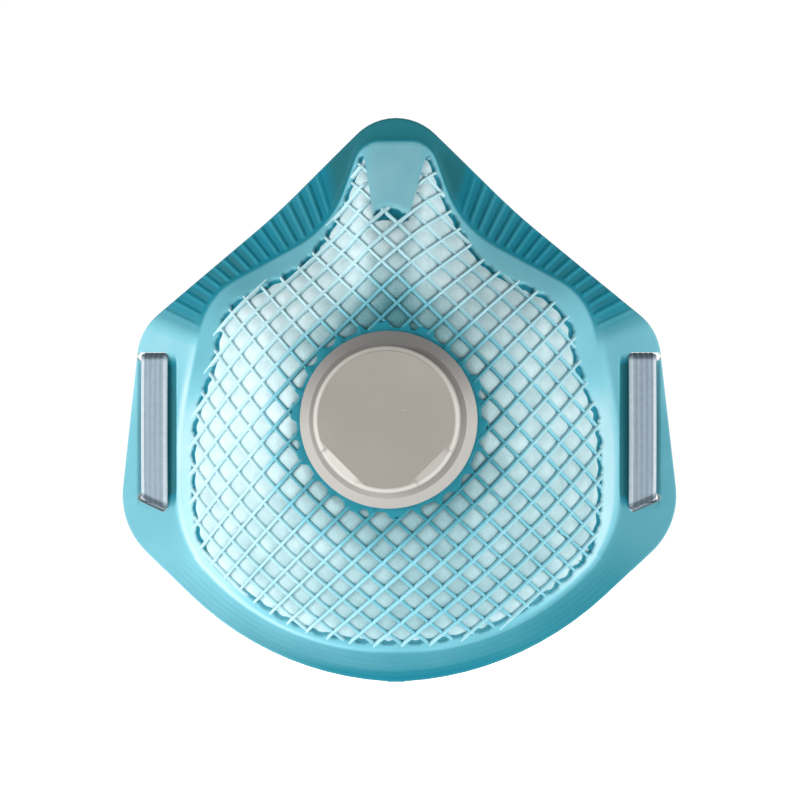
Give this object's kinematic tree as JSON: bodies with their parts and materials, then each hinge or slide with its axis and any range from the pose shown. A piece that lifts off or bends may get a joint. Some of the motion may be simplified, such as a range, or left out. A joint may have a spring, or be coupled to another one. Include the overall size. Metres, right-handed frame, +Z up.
{
  "type": "disposable dust mask",
  "caption": "Cup-shaped disposable dust mask with a moulded net shell and face flange, filter layers, round exhalation valve and woven elastic head loops.",
  "frame": {"origin": "middle of the face opening, in the plane through the nose and chin rims of the face seal", "axes": "+Z up to the nose, +Y towards the wearer's face, +X across the mask to the right as seen from the front"},
  "size_m": [0.1364, 0.1222, 0.1375],
  "materials": {
    "net": "semi-gloss moulded thermoplastic, slightly translucent",
    "web": "thermally bonded nonwoven",
    "filter": "melt-blown felt",
    "liner": "soft bonded nonwoven",
    "foam": "open-cell foam",
    "valve": "satin moulded plastic",
    "silicone": "smooth silicone",
    "elastic": "woven elastic with lengthwise ribs"
  },
  "bodies": {
    "mask": {"outer_net": "net", "cover_web": "web", "filter_media": "filter", "inner_liner": "liner", "nose_foam": "foam", "valve_seat": "valve", "valve_cover": "valve", "valve_retainer": "valve", "strap_left_pass": "elastic", "strap_right_pass": "elastic"},
    "crown_loop": {"crown_band": "elastic"},
    "neck_loop": {"neck_band": "elastic"},
    "flap": {"valve_diaphragm": "silicone"}
  },
  "joints": [
    {"name": "crown_loop_swing", "type": "hinge", "parent": "mask", "child": "crown_loop", "pos_m": [0, 0.0138, 0.0114], "axis": [1, 0, 0], "range_deg": [0, 95]},
    {"name": "neck_loop_swing", "type": "hinge", "parent": "mask", "child": "neck_loop", "pos_m": [0, 0.0138, -0.0244], "axis": [1, 0, 0], "range_deg": [0, 44]},
    {"name": "flap_open", "type": "hinge", "parent": "mask", "child": "flap", "pos_m": [0, -0.03737, 0.007], "axis": [-1, 0, 0], "range_deg": [0, 14], "stiffness_Nm_per_rad": 0.001}
  ]
}
